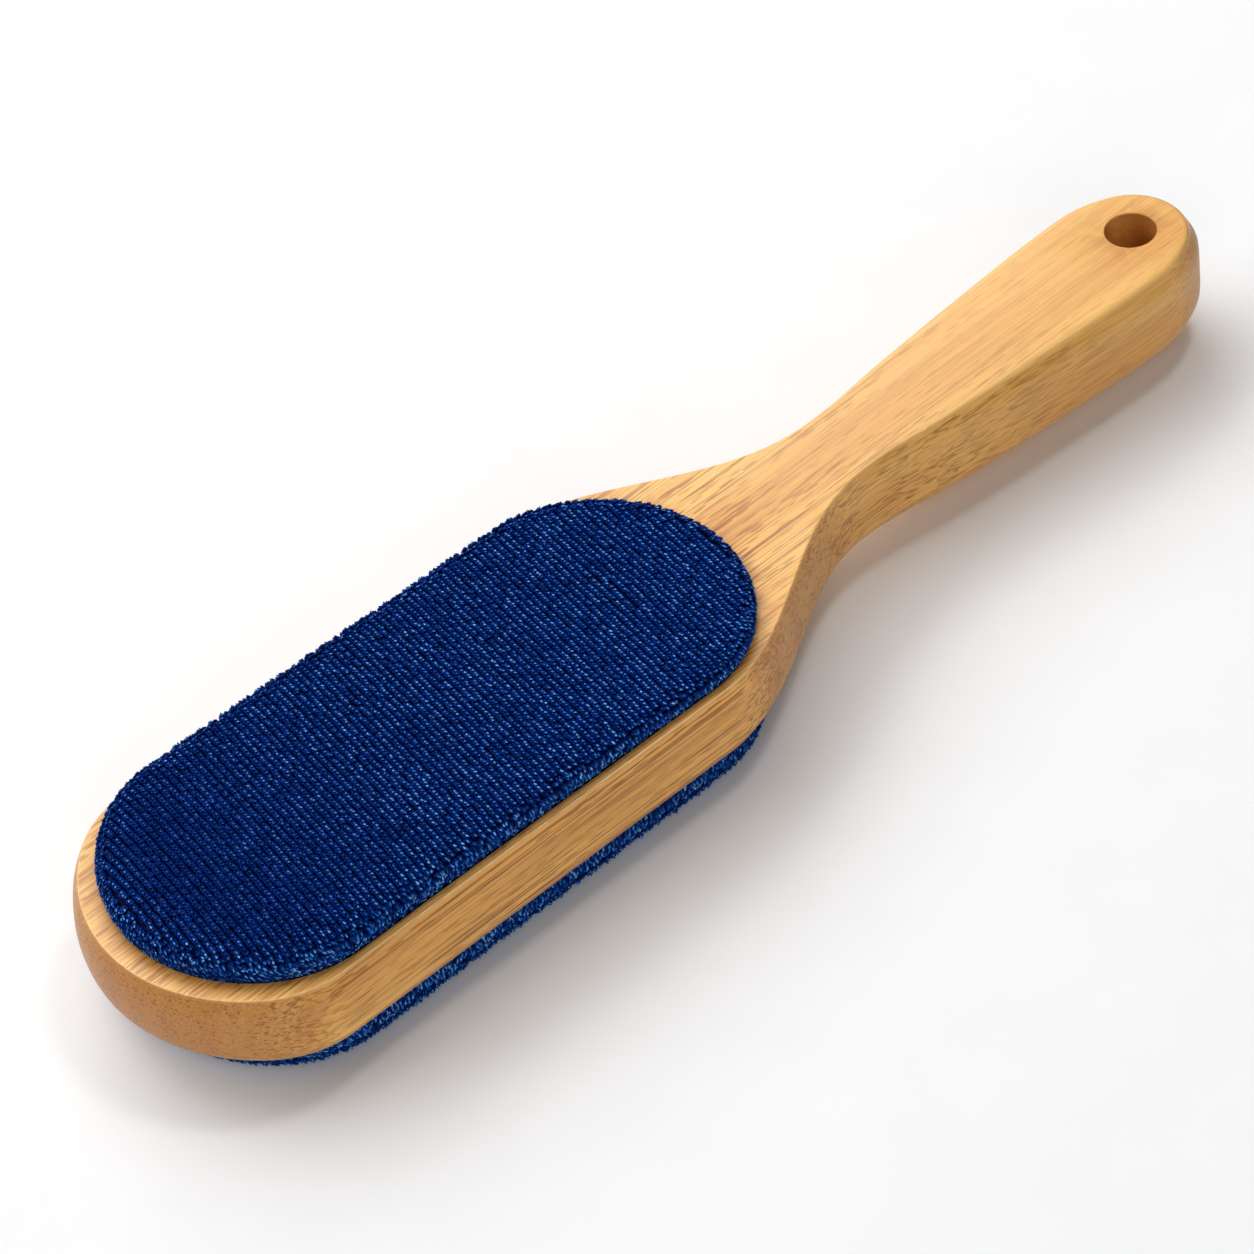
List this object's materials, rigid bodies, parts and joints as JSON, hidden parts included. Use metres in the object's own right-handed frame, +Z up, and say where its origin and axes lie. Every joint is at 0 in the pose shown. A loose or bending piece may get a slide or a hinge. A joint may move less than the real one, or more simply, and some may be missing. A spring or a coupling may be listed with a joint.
{
  "type": "clothes brush",
  "caption": "Double-sided clothes brush: oblong wooden head with a waisted handle and hanging hole, a crowned directional-pile pad let into each face.",
  "frame": {"origin": "middle of the brush's bounding box, on the surface that the lower pad rests on", "axes": "+X along the brush from the nose to the end of the handle, +Y across it, +Z up, square to the two faces"},
  "size_m": [0.25, 0.0602, 0.0298],
  "materials": {
    "wood": "satin clear lacquer on pale straight-grained wood",
    "pile_fabric": "short directional pile in fine rows, royal blue, silky glints",
    "foam": "open-cell foam",
    "board": "plain fibreboard",
    "adhesive": "double-sided adhesive sheet"
  },
  "bodies": {
    "root": {"wooden_body": "wood", "upper_pile_cover": "pile_fabric", "upper_foam_pad": "foam", "upper_backing_board": "board", "upper_adhesive_sheet": "adhesive", "lower_pile_cover": "pile_fabric", "lower_foam_pad": "foam", "lower_backing_board": "board", "lower_adhesive_sheet": "adhesive"}
  },
  "joints": []
}
